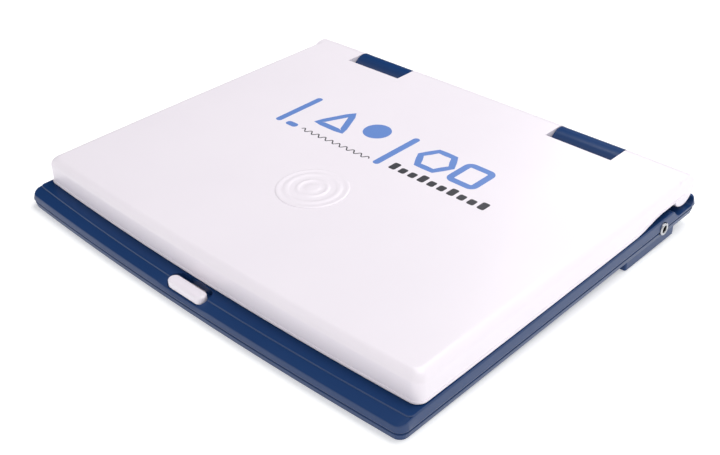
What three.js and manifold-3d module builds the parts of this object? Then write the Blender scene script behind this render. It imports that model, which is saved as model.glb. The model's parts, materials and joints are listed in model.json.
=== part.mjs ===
// Toy laptop computer: navy two-shell base, white flip-up lid, sliding latch, sprung letter keys,
// three small cells under a screwed door. Millimetres, +Z up, X right, Y towards the hinge.
// Every solid is drawn with the base level; the whole case then leans onto its feet.

import * as THREE from 'three';
import { mergeVertices } from 'three/addons/utils/BufferGeometryUtils.js';
import Module from 'manifold-3d';

const wasm = await Module();
wasm.setup();

// ---- driving dimensions ----
const GAP = 0.3;                    // air between neighbouring parts
const WALL = 1.8;                   // moulded wall of the base shells
const HALF_WIDTH = 150;             // base at its parting line
const BASE_FRONT = -129;            // front corners of the parting line
const BASE_REAR = 129.3;
const BASE_BOW = 4.2;               // how far the front edge bulges in the middle
const PART_Z = 4.0;                 // parting line between the two base shells
const TOP_Z = 11.0;                 // flat top of the base
const CREASE_Z = 8.2;               // outer edge of the front slope
const STEP_BOW = 5.4;               // bulge of the inner edge of the front slope
const STEP_FRONT = -121.2;

const BUMP = { front: 56.3, rear: 107.6, halfWidth: 148.8, bottom: -5.3 };

const AXIS = { y: 116.5, z: 18.9 }; // hinge line
const BARREL_R = 10.4;
const BARREL_HALF = 147.4;
const KNUCKLE = { x: 83.1, half: 22.4, r: 9.9 };
const PIN = { r: 1.9, half: 29 };
const TROUGH = { front: 103, rear: 125.6, floor: 6.2 };

const LID = {
  half: 148.2, front: -115.2, bow: 4.4, bottom: 11.4, top: 29.3, corner: 6, draft: 0.5, fillet: 5.5,
};
const LID_WALL = 2.4;
const NECK = { start: 65, end: 91, rise: 4.2 };  // S-shaped lift of the lid's lower edge
const CUT = { front: 102.3, half: KNUCKLE.half + 0.5 };
const BEZEL = { bottom: 11.7, thick: 1.8, rear: 97.4 };
const SCREEN = { half: 64, front: -52, rear: 28 };

const KEY = { pitchX: 20, pitchY: 19, w: 15.2, d: 14.2, top: 10.9, flangeZ: 5.6, flange: 0.8 };
const KEY_ROWS = [
  { letters: 'qwertyuiop', y: 48 },
  { letters: 'asdfghjkl', y: 29 },
  { letters: 'zxcvbnm', y: 10 },
];
const SPACE = { y: -9, w: 94 };
const DECK = { half: 107, front: -21, rear: 60, z: 8.6, under: 7.0 };
const STRIP = { y: 74, half: 71, d: 8.4, pads: 9, pitch: 15.4 };
const GRILLE = { x: -112, y: -78, slots: 7, pitch: 4.6, length: 26, width: 1.9 };

const CELL = { r: 5.25, length: 44.5, pitch: 11.2, x: 106, y: 81, z: 1.7 };
const TUB = { x0: 76, x1: 136, y0: 62, y1: 100, top: 8.6, wall: 1.4 };
const DOOR = { x0: 64.9, x1: 135.1, y0: 62.9, y1: 99.1, thick: 1.4, screwX: 70.5 };

const JACK = { y: 92.4, z: 5.3, r: 3.75, bore: 2.1 };
const LATCH = { y: -127.6, w: 27.8, d: 7.2, floor: 7.7, top: 12.2, travel: 1.5 };
const LATCH_SPRING = { r: 1.5, wire: 0.25, turns: 4, z: 5.1, from: -107.9, to: -101.9, wallY: -101.4 };
const FOOT = {
  frontX: 126, frontY: -110, frontR: 6, frontDrop: 0.8, rearX: 141, rearY: 101.5, rearR: 4.8, rearDrop: 2.0,
};
const CASE_SCREW = { x: 138, frontY: -104, rearY: 44 };
const LID_SCREW = { x: 130, y: -96 };

const LEAN = Math.atan((FOOT.rearDrop - BUMP.bottom - FOOT.frontDrop) / (FOOT.rearY - FOOT.frontY));

// ---- materials ----
const paint = (color, roughness = 0.35, metalness = 0) =>
  new THREE.MeshStandardMaterial({ color, roughness, metalness });
const NAVY = paint(0x1d3a68);
const WHITE = paint(0xf3eef7, 0.3);
const BEZEL_GREY = paint(0xdedce6, 0.5);
const KEY_WHITE = paint(0xeeebf2, 0.4);
const RUBBER = paint(0x3a3f4a, 0.8);
const BLUE_RUBBER = paint(0x5f8fd6, 0.7);
const STEEL = paint(0xb9bcc2, 0.3, 0.9);
const CHROME = paint(0xd8dadf, 0.12, 1);
const BOARD = paint(0x1f6a3f, 0.5);
const CELL_SKIN = paint(0x2f3238, 0.4);
const GLASS = paint(0x2a3238, 0.1);
const PANEL = paint(0x8d9a82, 0.4);

// ---- solids ----
function solid(geometry) {
  const bare = new THREE.BufferGeometry();
  bare.setAttribute('position', geometry.getAttribute('position'));
  if (geometry.index) bare.setIndex(geometry.index);
  const merged = mergeVertices(bare, 1e-4);
  return new wasm.Manifold(new wasm.Mesh({
    numProp: 3,
    vertProperties: new Float32Array(merged.getAttribute('position').array),
    triVerts: new Uint32Array(merged.index.array),
  }));
}

function box(x0, x1, y0, y1, z0, z1) {
  const geometry = new THREE.BoxGeometry(x1 - x0, y1 - y0, z1 - z0);
  geometry.translate((x0 + x1) / 2, (y0 + y1) / 2, (z0 + z1) / 2);
  return solid(geometry);
}

const AXES = {
  x: new THREE.Matrix4().makeBasis(
    new THREE.Vector3(0, 1, 0), new THREE.Vector3(0, 0, 1), new THREE.Vector3(1, 0, 0)),
  z: new THREE.Matrix4(),
};

// Closed outline pushed along an axis: along z the points are (x, y), along x they are (y, z).
function prism(points, from, to, axis = 'z') {
  const shape = new THREE.Shape(points.map(([a, b]) => new THREE.Vector2(a, b)));
  const geometry = new THREE.ExtrudeGeometry(shape, { depth: to - from, bevelEnabled: false });
  geometry.translate(0, 0, from);
  return solid(geometry.applyMatrix4(AXES[axis]));
}

function arc(cx, cy, r, from, to, steps) {
  return Array.from({ length: steps + 1 }, (_, i) => {
    const a = THREE.MathUtils.degToRad(from + (to - from) * i / steps);
    return [cx + r * Math.cos(a), cy + r * Math.sin(a)];
  });
}

function circle(cx, cy, r, steps = 24) {
  return arc(cx, cy, r, 0, 360 - 360 / steps, steps - 1);
}

function rod(cx, cy, r, z0, z1, steps = 24) {
  return prism(circle(cx, cy, r, steps), z0, z1);
}

function rodX(cy, cz, r, x0, x1, steps = 32) {
  return prism(circle(cy, cz, r, steps), x0, x1, 'x');
}

function roundRect(cx, cy, w, d, r, steps = 3) {
  const x = w / 2 - r;
  const y = d / 2 - r;
  return [
    ...arc(cx + x, cy - y, r, -90, 0, steps),
    ...arc(cx + x, cy + y, r, 0, 90, steps),
    ...arc(cx - x, cy + y, r, 90, 180, steps),
    ...arc(cx - x, cy - y, r, 180, 270, steps),
  ];
}

// Skin through rings of the same count, closed at both ends. Each ring is a list of [x, y, z].
function loft(rings) {
  const count = rings[0].length;
  const points = rings.flat();
  const faces = [];
  for (let k = 0; k < rings.length - 1; k += 1) {
    for (let i = 0; i < count; i += 1) {
      const a = k * count + i;
      const b = k * count + (i + 1) % count;
      faces.push(a, b, b + count, a, b + count, a + count);
    }
  }
  const flat = (ring) => ring.map(([x, y]) => new THREE.Vector2(x, y));
  for (const tri of THREE.ShapeUtils.triangulateShape(flat(rings[0]), [])) {
    faces.push(tri[2], tri[1], tri[0]);
  }
  const last = (rings.length - 1) * count;
  for (const tri of THREE.ShapeUtils.triangulateShape(flat(rings.at(-1)), [])) {
    faces.push(last + tri[0], last + tri[1], last + tri[2]);
  }
  const geometry = new THREE.BufferGeometry();
  geometry.setAttribute('position', new THREE.Float32BufferAttribute(points.flat(), 3));
  geometry.setIndex(faces);
  return solid(geometry);
}

// Case outline seen from above: bowed front, round front corners, squarer rear corners.
function outline({ half, front, bow, rear, corner, rearCorner = 3, steps = 14 }) {
  const edge = half - corner;
  const frontY = (x) => front - bow * (1 - (x / half) ** 2);
  const points = [];
  for (let i = 0; i <= steps; i += 1) {
    const x = -edge + 2 * edge * i / steps;
    points.push([x, frontY(x)]);
  }
  const cy = frontY(edge) + corner;
  points.push(...arc(edge, cy, corner, -90, 0, 5).slice(1));
  points.push(...arc(half - rearCorner, rear - rearCorner, rearCorner, 0, 90, 2));
  points.push(...arc(-half + rearCorner, rear - rearCorner, rearCorner, 90, 180, 2));
  points.push(...arc(-edge, cy, corner, 180, 270, 5).slice(0, -1));
  return points;
}

const atHeight = (points, z) => points.map(([x, y]) => [x, y, z]);
const smooth = (t) => {
  const c = THREE.MathUtils.clamp(t, 0, 1);
  return c * c * (3 - 2 * c);
};
const neckLift = (y) => NECK.rise * smooth((y - NECK.start) / (NECK.end - NECK.start));

function neckLine(base, from, to, steps = 12) {
  const line = [[from, base]];
  for (let i = 0; i <= steps; i += 1) {
    const y = NECK.start + (NECK.end - NECK.start) * i / steps;
    line.push([y, base + neckLift(y)]);
  }
  line.push([to, base + NECK.rise]);
  return line;
}

// ---- base shells ----
const baseOutline = (inset, bow = BASE_BOW) => outline({
  half: HALF_WIDTH - inset, front: BASE_FRONT + inset, bow, rear: BASE_REAR - inset,
  corner: 6 - Math.min(inset, 3),
});

function topOuter() {
  const crease = baseOutline(0.9).map(([x, y]) => {
    const run = (x / (HALF_WIDTH - 0.9)) ** 2;
    const outer = BASE_FRONT + 0.9 - BASE_BOW * (1 - run);
    const inner = STEP_FRONT - STEP_BOW * (1 - run);
    const along = THREE.MathUtils.clamp((y - outer) / (inner - outer), 0, 1);
    return [x, y, CREASE_Z + (TOP_Z - 0.4 - CREASE_Z) * along];
  });
  const top = outline({
    half: HALF_WIDTH - 1.3, front: STEP_FRONT, bow: STEP_BOW, rear: BASE_REAR - 1.3, corner: 2.5,
  });
  const lip = PART_Z + GAP / 2;
  return loft([
    atHeight(baseOutline(0.8), lip), atHeight(baseOutline(0), lip + 0.8), crease, atHeight(top, TOP_Z),
  ]);
}

const CAVITY = { half: 147.4, front: -118.6, bow: 5.2, rear: TROUGH.front - 2, corner: 6 };

function baseHollow(z0, z1, inset = 0) {
  const plan = outline({
    half: CAVITY.half - inset, front: CAVITY.front + inset, bow: CAVITY.bow, rear: CAVITY.rear - inset,
    corner: CAVITY.corner,
  });
  return prism(plan, z0, z1);
}

// lower, wider part of the hollow that reaches in under the front slope
function frontHollow() {
  return outline({
    half: CAVITY.half, front: BASE_FRONT + 2.2, bow: BASE_BOW, rear: CAVITY.rear, corner: CAVITY.corner,
  });
}

function keySites() {
  const sites = [];
  for (const { letters, y } of KEY_ROWS) {
    [...letters].forEach((letter, i) => {
      sites.push({ name: `key_${letter}`, x: (i - (letters.length - 1) / 2) * KEY.pitchX, y, w: KEY.w });
    });
  }
  sites.push({ name: 'key_space', x: 0, y: SPACE.y, w: SPACE.w });
  return sites;
}

const screwSites = [
  ['case_screw_front_left', -CASE_SCREW.x, CASE_SCREW.frontY],
  ['case_screw_front_right', CASE_SCREW.x, CASE_SCREW.frontY],
  ['case_screw_rear_left', -CASE_SCREW.x, CASE_SCREW.rearY],
  ['case_screw_rear_right', CASE_SCREW.x, CASE_SCREW.rearY],
];

function troughCut() {
  const { front, rear, floor } = TROUGH;
  const section = [
    [front, 40], [front, TOP_Z], ...arc(front + 7.5, floor + 6.2, 6.2, 200, 270, 5),
    ...arc(rear - 3, floor + 3, 3, 270, 360, 4), [rear, 40],
  ];
  return prism(section, -HALF_WIDTH - 5, HALF_WIDTH + 5, 'x');
}

function knuckle(side) {
  const cx = side * KNUCKLE.x;
  const x0 = cx - KNUCKLE.half;
  const x1 = cx + KNUCKLE.half;
  const skin = rodX(AXIS.y, AXIS.z, KNUCKLE.r, x0, x1, 40)
    .add(box(x0, x1, AXIS.y - 8.5, AXIS.y + 8, 4.6, AXIS.z - 4));
  const inside = rodX(AXIS.y, AXIS.z, KNUCKLE.r - 2, x0 + 2.2, x1 - 2.2, 24)
    .add(box(x0 + 2.2, x1 - 2.2, AXIS.y - 6, AXIS.y + 5.5, 2, AXIS.z - 4));
  return { skin, inside, bore: rodX(AXIS.y, AXIS.z, PIN.r + 0.25, x0 - 1, x1 + 1, 20) };
}

function topCase() {
  let body = topOuter().subtract(troughCut());
  body = body.subtract(baseHollow(0, TOP_Z - WALL)).subtract(prism(frontHollow(), 0, CREASE_Z - 2));
  const rearHollow = prism([
    [TROUGH.front + 1, 0], [BASE_REAR - 3.2, 0], [BASE_REAR - 3.2, TROUGH.floor - 1.5],
    [TROUGH.front + 5, TROUGH.floor - 1.5],
  ], -CAVITY.half, CAVITY.half, 'x');
  body = body.subtract(rearHollow);
  body = body.add(box(-DECK.half - 2, DECK.half + 2, DECK.front - 2, DECK.rear + 1, DECK.under, TOP_Z - 1));
  body = body.subtract(box(-DECK.half, DECK.half, DECK.front, DECK.rear, DECK.z, 40));
  for (const { x, y, w } of keySites()) {
    body = body.subtract(prism(roundRect(x, y, w + 0.7, KEY.d + 0.7, 1.6), 0, 20));
  }
  body = body.subtract(prism(roundRect(0, STRIP.y, 2 * STRIP.half + 0.8, STRIP.d + 0.8, 2), 0, 20));
  for (let i = 0; i < GRILLE.slots; i += 1) {
    const x = GRILLE.x + (i - (GRILLE.slots - 1) / 2) * GRILLE.pitch;
    body = body.subtract(prism(roundRect(x, GRILLE.y, GRILLE.width, GRILLE.length, 0.9, 2), 5, 20));
  }
  for (const side of [-1, 1]) {
    const { skin, inside, bore } = knuckle(side);
    body = body.add(skin).subtract(inside).subtract(bore);
  }
  for (const [, x, y] of screwSites) {
    body = body.add(rod(x, y, 3.4, 5.6, TOP_Z - 1, 16)).subtract(rod(x, y, 1.7, 2, TOP_Z - 2, 12));
  }
  // latch pocket in the front slope, with a through slot for the sliding stem and one for the lid catch
  body = body.add(box(-24, 24, -134, -108, 6.2, 10.2).intersect(topOuter()));
  const pocket = roundRect(0, LATCH.y + LATCH.travel, LATCH.w + 2.6, LATCH.d + 4.2, 5.2, 5);
  body = body.subtract(prism(pocket, LATCH.floor, 30));
  body = body.subtract(box(-6.4, 6.4, -127, -119.6, 0, 12));
  body = body.subtract(box(-6.4, 6.4, -114.2, -109.6, 0, 20));
  body = body.subtract(box(-11.5, 11.5, -128.4, -107.8, 3.4, 6.5));
  body = body.subtract(rodX(JACK.y, JACK.z, JACK.r + GAP, 144, 156, 24));
  return body;
}

function bumpSolid(inset, z0, z1) {
  const depth = BUMP.rear - BUMP.front;
  const width = 2 * (BUMP.halfWidth - inset);
  const plan = roundRect(0, BUMP.front + depth / 2, width, depth - 2 * inset, 1.2, 2);
  return prism(plan, z0, z1);
}

// name, x, y, radius, height of the shell there, drop below it
const footSites = [
  ['foot_front_left', -FOOT.frontX, FOOT.frontY, FOOT.frontR, 0, FOOT.frontDrop],
  ['foot_front_right', FOOT.frontX, FOOT.frontY, FOOT.frontR, 0, FOOT.frontDrop],
  ['foot_rear_left', -FOOT.rearX, FOOT.rearY, FOOT.rearR, BUMP.bottom, FOOT.rearDrop],
  ['foot_rear_right', FOOT.rearX, FOOT.rearY, FOOT.rearR, BUMP.bottom, FOOT.rearDrop],
];

function bottomCase() {
  const lip = PART_Z - GAP / 2;
  let body = loft([
    atHeight(baseOutline(1.2, 4.3), 0),
    atHeight(baseOutline(0.5, 4.25), lip - 0.6),
    atHeight(baseOutline(1.1, 4.25), lip),
  ]);
  body = body.add(bumpSolid(0, BUMP.bottom, 1));
  body = body.subtract(prism(baseOutline(2.9), WALL, 30));
  body = body.subtract(bumpSolid(WALL, BUMP.bottom + WALL, 30));
  body = body.add(box(DOOR.x0 - 2.5, TUB.x1, TUB.y0, TUB.y1, BUMP.bottom + 0.4, 1.6));
  body = body.add(box(TUB.x0, TUB.x1, TUB.y0, TUB.y1, 0, TUB.top));
  const doorway = BUMP.bottom + DOOR.thick + GAP;
  body = body.subtract(box(DOOR.x0 - GAP, DOOR.x1 + GAP, DOOR.y0 - GAP, DOOR.y1 + GAP, -20, doorway));
  const { wall, top } = TUB;
  body = body.subtract(box(TUB.x0 + wall, TUB.x1 - wall, TUB.y0 + wall, TUB.y1 - wall, -20, top - wall));
  body = body.subtract(rod(DOOR.screwX, CELL.y, 1.6, -20, 0.4, 12));
  for (const [, x, y] of screwSites) {
    body = body.add(rod(x, y, 4.6, 0.4, 5.2, 20));
    body = body.subtract(rod(x, y, 3.3, -10, 2.4, 20)).subtract(rod(x, y, 1.8, -1, 10, 12));
  }
  for (const [, x, y, r, base] of footSites) {
    body = body.add(rod(x, y, r + 1.6, base + 0.4, base + 2.6, 20));
    body = body.subtract(rod(x, y, r + 0.4, base - 5, base + 0.9, 20));
  }
  body = body.add(box(-7, 7, LATCH_SPRING.wallY, LATCH_SPRING.wallY + 1.6, 1, 7.2));
  return body.subtract(rodX(JACK.y, JACK.z, JACK.r + GAP, 144, 156, 24));
}

// ---- feet, cut flat where they meet the table ----
function underTable() {
  const slab = new THREE.BoxGeometry(400, 800, 40);
  slab.translate(0, 0, -20);
  slab.rotateX(-LEAN);
  slab.translate(0, FOOT.frontY, -FOOT.frontDrop);
  return solid(slab);
}

function foot(x, y, r, base) {
  return rod(x, y, r, base - 4, base + 0.5, 24).subtract(underTable());
}

// ---- lid ----
const lidOutline = (inset, rear = AXIS.y) => outline({
  half: LID.half - inset, front: LID.front + inset, bow: LID.bow, rear,
  corner: Math.max(LID.corner - inset, 3), rearCorner: 0.5,
});

function lidOuter() {
  const rings = [atHeight(lidOutline(0), LID.bottom)];
  for (let i = 0; i <= 5; i += 1) {
    const a = (Math.PI / 2) * i / 5;
    const inset = LID.draft + LID.fillet * (1 - Math.cos(a));
    rings.push(atHeight(lidOutline(inset), LID.top - LID.fillet + LID.fillet * Math.sin(a)));
  }
  return loft(rings);
}

function knuckleCuts() {
  const cut = (x) => box(x - CUT.half, x + CUT.half, CUT.front, 160, -20, 60);
  return cut(-KNUCKLE.x).add(cut(KNUCKLE.x));
}

function lidCover() {
  let body = lidOuter();
  const under = [...neckLine(LID.bottom, 0, AXIS.y + 1), [AXIS.y + 1, 0], [0, 0]];
  body = body.subtract(prism(under, -200, 200, 'x'));
  body = body.add(rodX(AXIS.y, AXIS.z, BARREL_R, -BARREL_HALF, BARREL_HALF, 48));
  body = body.subtract(knuckleCuts());
  const roof = LID.top - 2;
  body = body.subtract(loft([
    atHeight(lidOutline(LID_WALL, 97.7), 5), atHeight(lidOutline(LID_WALL, 97.7), 18.2),
    atHeight(lidOutline(LID_WALL + LID.draft, 97.7), roof - 4),
    atHeight(lidOutline(LID_WALL + LID.draft + 3, 97.7), roof),
  ]));
  const segments = [
    [-BARREL_HALF + 2.4, -KNUCKLE.x - CUT.half - 2], [-KNUCKLE.x + CUT.half + 2, KNUCKLE.x - CUT.half - 2],
    [KNUCKLE.x + CUT.half + 2, BARREL_HALF - 2.4],
  ];
  for (const [x0, x1] of segments) {
    body = body.subtract(rodX(AXIS.y, AXIS.z, BARREL_R - 2, x0, x1, 24));
    body = body.subtract(box(x0, x1, 96, AXIS.y, LID.bottom + NECK.rise + 2.2, roof));
  }
  for (const side of [-1, 1]) {
    const reach = KNUCKLE.half + 9;
    const middle = side * KNUCKLE.x;
    body = body.subtract(rodX(AXIS.y, AXIS.z, PIN.r + 0.25, middle - reach, middle + reach, 20));
    body = body.add(rod(side * LID_SCREW.x, LID_SCREW.y, 3.6, 13.9, roof + 0.5, 16));
    body = body.subtract(rod(side * LID_SCREW.x, LID_SCREW.y, 1.6, 12, 24, 12));
  }
  return body;
}

function lidBezel() {
  const lower = neckLine(BEZEL.bottom, -140, 110);
  const upper = neckLine(BEZEL.bottom + BEZEL.thick, -140, 110).reverse();
  let body = prism([...lower, ...upper], -160, 160, 'x');
  body = body.intersect(prism(lidOutline(LID_WALL + GAP, BEZEL.rear), 0, 40));
  body = body.subtract(box(-SCREEN.half, SCREEN.half, SCREEN.front, SCREEN.rear, 0, 40));
  for (const side of [-1, 1]) {
    body = body.subtract(rod(side * LID_SCREW.x, LID_SCREW.y, 1.8, 0, 30, 12));
  }
  // catch tongue that drops through the base behind the latch
  const root = BEZEL.bottom + 1;
  const tongue = [[-113.8, root], [-113.8, 4.6], [-112.6, 4.6], [-111.6, 6], [-111.6, root]];
  return body.add(prism(tongue, -5.6, 5.6, 'x'));
}

function screenWindow() {
  const { half, front, rear } = SCREEN;
  return box(-half + GAP, half - GAP, front + GAP, rear - GAP, BEZEL.bottom + 0.3, BEZEL.bottom + 1.5);
}

function lcdModule() {
  const { half, front, rear } = SCREEN;
  const z = BEZEL.bottom + BEZEL.thick + GAP;
  const frame = box(-half - 6, half + 6, front - 6, rear + 6, z, z + 3.4);
  return frame.add(box(-half - 2, half + 2, front - 2, rear + 2, z + 3, z + 4.6));
}

// ---- moving parts of the base ----
function keyCap({ x, y, w }) {
  const { d, top, flangeZ, flange } = KEY;
  const skirt = atHeight(roundRect(x, y, w, d, 1.4), flangeZ);
  const shoulder = atHeight(roundRect(x, y, w, d, 1.4), top - 1.6);
  const crown = atHeight(roundRect(x, y, w - 2, d - 2, 1.6), top);
  const body = loft([skirt, shoulder, crown])
    .add(prism(roundRect(x, y, w + 2 * flange, d + 2 * flange, 1.4, 2), flangeZ, flangeZ + 1.0));
  return body.subtract(prism(roundRect(x, y, w - 3, d - 3, 0.8, 1), flangeZ - 1, top - 1.4));
}

function latchButton() {
  const { y, w, d, floor, top } = LATCH;
  const cap = loft([
    atHeight(roundRect(0, y, w, d, d / 2 - 0.05, 6), floor + GAP),
    atHeight(roundRect(0, y, w, d, d / 2 - 0.05, 6), top - 0.8),
    atHeight(roundRect(0, y, w - 1.6, d - 1.6, d / 2 - 0.9, 6), top),
  ]);
  const stem = box(-5.8, 5.8, -126.6, -124.4, 5.5, 9);
  const slide = box(-11, 11, -127.9, -110.4, 4.3, 5.9).subtract(box(-6.2, 6.2, -116.9, -111.4, 0, 10));
  return cap.add(stem).add(slide);
}

// A wire bent along a path, with both ends closed.
function wire(path, r, steps) {
  const section = new THREE.Shape(circle(0, 0, r, 6).map(([a, b]) => new THREE.Vector2(a, b)));
  return solid(new THREE.ExtrudeGeometry(section, { steps, extrudePath: path, bevelEnabled: false }));
}

class Coil extends THREE.Curve {
  getPoint(t, target = new THREE.Vector3()) {
    const { r, turns, z, from, to } = LATCH_SPRING;
    const a = 2 * Math.PI * turns * t;
    return target.set(r * Math.cos(a), from + (to - from) * t, z + r * Math.sin(a));
  }
}

function latchSpring() {
  return wire(new Coil(), LATCH_SPRING.wire, 12 * LATCH_SPRING.turns);
}

function hingePin(side) {
  return rodX(AXIS.y, AXIS.z, PIN.r, side * KNUCKLE.x - PIN.half, side * KNUCKLE.x + PIN.half, 20);
}

// ---- inside the base ----
function mainBoard() {
  let body = box(-98, 66, -34, 56, 2.1, 3.1);
  body = body.add(box(-70, -50, -32, -23, 3, 5.2)).add(box(20, 38, -31, -23, 3, 4.8));
  return body;
}

function keyMat() {
  let body = prism(roundRect(0, 19.5, 208, 75, 3), 3.4, 3.9);
  for (const { x, y, w } of keySites()) {
    const offsets = w > 20 ? [-w / 3, 0, w / 3] : [0];
    for (const dx of offsets) {
      body = body.add(loft([
        atHeight(circle(x + dx, y, 3.6, 10), 3.7), atHeight(circle(x + dx, y, 2.6, 10), 7.6),
      ]));
    }
  }
  return body;
}

function functionStrip() {
  const { y, half, d, pads, pitch } = STRIP;
  let body = prism(roundRect(0, y, 2 * half + 4, d + 4, 2.5), TOP_Z - WALL - GAP - 1.2, TOP_Z - WALL - GAP);
  body = body.add(prism(roundRect(0, y, 2 * half, d, 1.8), TOP_Z - WALL - GAP - 0.6, TOP_Z - 1));
  for (let i = 0; i < pads; i += 1) {
    const x = (i - (pads - 1) / 2) * pitch;
    body = body.add(prism(roundRect(x, y, 12.5, 6, 2.9, 4), TOP_Z - 1.4, TOP_Z));
  }
  return body;
}

function speaker() {
  const profile = [
    [0, 2.4], [8, 2.4], [8, 5], [15.5, 7], [18, 7], [18, 8.8], [14, 8.8], [10, 6.6], [0, 6.2],
  ];
  const lathe = new THREE.LatheGeometry(profile.map(([a, b]) => new THREE.Vector2(a, b)), 28);
  lathe.rotateX(Math.PI / 2);
  lathe.translate(GRILLE.x, GRILLE.y, 0);
  return solid(lathe);
}

function cell(i) {
  const y = CELL.y + (i - 1) * CELL.pitch;
  const half = CELL.length / 2;
  return rodX(y, CELL.z, CELL.r, CELL.x - half, CELL.x + half - 0.9, 24)
    .add(rodX(y, CELL.z, 1.9, CELL.x + half - 1.4, CELL.x + half, 12));
}

function contactPlate(side) {
  const inner = side < 0 ? TUB.x0 + TUB.wall + GAP : TUB.x1 - TUB.wall - GAP;
  const x0 = Math.min(inner, inner - side * 0.5);
  let body = box(x0, x0 + 0.5, TUB.y0 + 2.4, TUB.y1 - 2.4, -3.2, 6.6);
  for (let i = 0; i < 3; i += 1) {
    const y = CELL.y + (i - 1) * CELL.pitch;
    const tip = CELL.x + side * (CELL.length / 2 + GAP);
    const [a, b] = side < 0 ? [x0 + 0.2, tip] : [tip, x0 + 0.3];
    const boss = rodX(y, CELL.z, side < 0 ? 3.2 : 2.6, a, b, 14);
    const cup = rodX(y, CELL.z, 2.3, a + 0.5, b + 1, 14);
    body = body.add(side < 0 ? boss.subtract(cup) : boss);
  }
  return body;
}

function batteryDoor() {
  const { x0, x1, y0, y1, thick, screwX } = DOOR;
  let body = box(x0, x1, y0, y1, BUMP.bottom, BUMP.bottom + thick);
  const { bottom } = BUMP;
  for (let i = 0; i < 5; i += 1) {
    const x = x1 - 16 + 2.4 * i;
    body = body.subtract(box(x, x + 1.2, y0 + 8, y1 - 8, bottom - 1, bottom + 0.5));
  }
  body = body.subtract(rod(screwX, CELL.y, 1.7, -20, 0, 12));
  return body.subtract(rod(screwX, CELL.y, 3.2, -20, bottom + 0.7, 16));
}

// Cross-head screw pointing up from z, or down when length is negative.
function screw(x, y, z, length, headR = 2.8, headH = 1.2, r = 1.35) {
  const sign = Math.sign(length);
  const head = rod(x, y, headR, Math.min(z, z + sign * headH), Math.max(z, z + sign * headH), 18);
  const shank = rod(x, y, r, Math.min(z, z + length), Math.max(z, z + length), 12);
  const slotZ = [z - 0.2, z + sign * 0.5].sort((a, b) => a - b);
  const across = box(x - 1.6, x + 1.6, y - 0.3, y + 0.3, ...slotZ);
  const along = box(x - 0.3, x + 0.3, y - 1.6, y + 1.6, ...slotZ);
  return head.add(shank).subtract(across.add(along));
}

function jackCollar() {
  const hole = rodX(JACK.y, JACK.z, JACK.bore + 0.1, 140, 156, 24);
  return rodX(JACK.y, JACK.z, JACK.r, 147.9, 150.9, 28).subtract(hole);
}

function jackSocket() {
  const hole = rodX(JACK.y, JACK.z, JACK.bore, 138.5, 156, 20);
  return box(137, 146.8, JACK.y - 4, JACK.y + 4, 1.9 + GAP, 8.8).subtract(hole);
}

// ---- assembly ----
const model = new THREE.Group();
model.name = 'toy_laptop';

function place(name, body, material) {
  const { vertProperties, triVerts } = body.getMesh();
  const indexed = new THREE.BufferGeometry();
  indexed.setAttribute('position', new THREE.BufferAttribute(new Float32Array(vertProperties), 3));
  indexed.setIndex(new THREE.BufferAttribute(new Uint32Array(triVerts), 1));
  const geometry = indexed.toNonIndexed();
  geometry.computeVertexNormals();
  const mesh = new THREE.Mesh(geometry, material);
  mesh.name = name;
  model.add(mesh);
}

place('bottom_case', bottomCase(), NAVY);
place('top_case', topCase(), NAVY);
place('battery_door', batteryDoor(), NAVY);
place('battery_door_screw', screw(DOOR.screwX, CELL.y, BUMP.bottom - 0.3, 5.4, 2.8, 0.7), STEEL);
[0, 1, 2].forEach((i) => place(`battery_${i + 1}`, cell(i), CELL_SKIN));
place('battery_contact_left', contactPlate(-1), STEEL);
place('battery_contact_right', contactPlate(1), STEEL);
place('main_board', mainBoard(), BOARD);
place('speaker', speaker(), STEEL);
place('key_mat', keyMat(), RUBBER);
place('function_strip', functionStrip(), BLUE_RUBBER);
place('jack_socket', jackSocket(), RUBBER);
place('jack_collar', jackCollar(), CHROME);
place('latch_button', latchButton(), WHITE);
place('latch_spring', latchSpring(), STEEL);
place('hinge_pin_left', hingePin(-1), STEEL);
place('hinge_pin_right', hingePin(1), STEEL);
for (const [name, x, y, r, base] of footSites) place(name, foot(x, y, r, base), RUBBER);
for (const [name, x, y] of screwSites) place(name, screw(x, y, 0.9, 8), STEEL);
place('lid_cover', lidCover(), WHITE);
place('lid_bezel', lidBezel(), BEZEL_GREY);
place('screen_window', screenWindow(), GLASS);
place('lcd_module', lcdModule(), PANEL);
[['lid_screw_left', -1], ['lid_screw_right', 1]].forEach(([name, side]) => {
  place(name, screw(side * LID_SCREW.x, LID_SCREW.y, BEZEL.bottom - 0.15 - 0.2, 9, 2.6, 0.25), STEEL);
});
for (const site of keySites()) place(site.name, keyCap(site), KEY_WHITE);

// lean the level case onto its feet, then centre its footprint with the table at zero
model.rotation.x = LEAN;
model.updateMatrixWorld(true);
const bounds = new THREE.Box3().setFromObject(model, true);
model.position.set(-(bounds.min.x + bounds.max.x) / 2, -(bounds.min.y + bounds.max.y) / 2, -bounds.min.z);

export default model;
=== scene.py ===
"""Looks of a toy laptop computer: shells, lid print, keys, screen and room, built on its CAD frame."""

import json
import math

import bmesh
import bpy
from mathutils import Matrix, Vector


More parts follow.
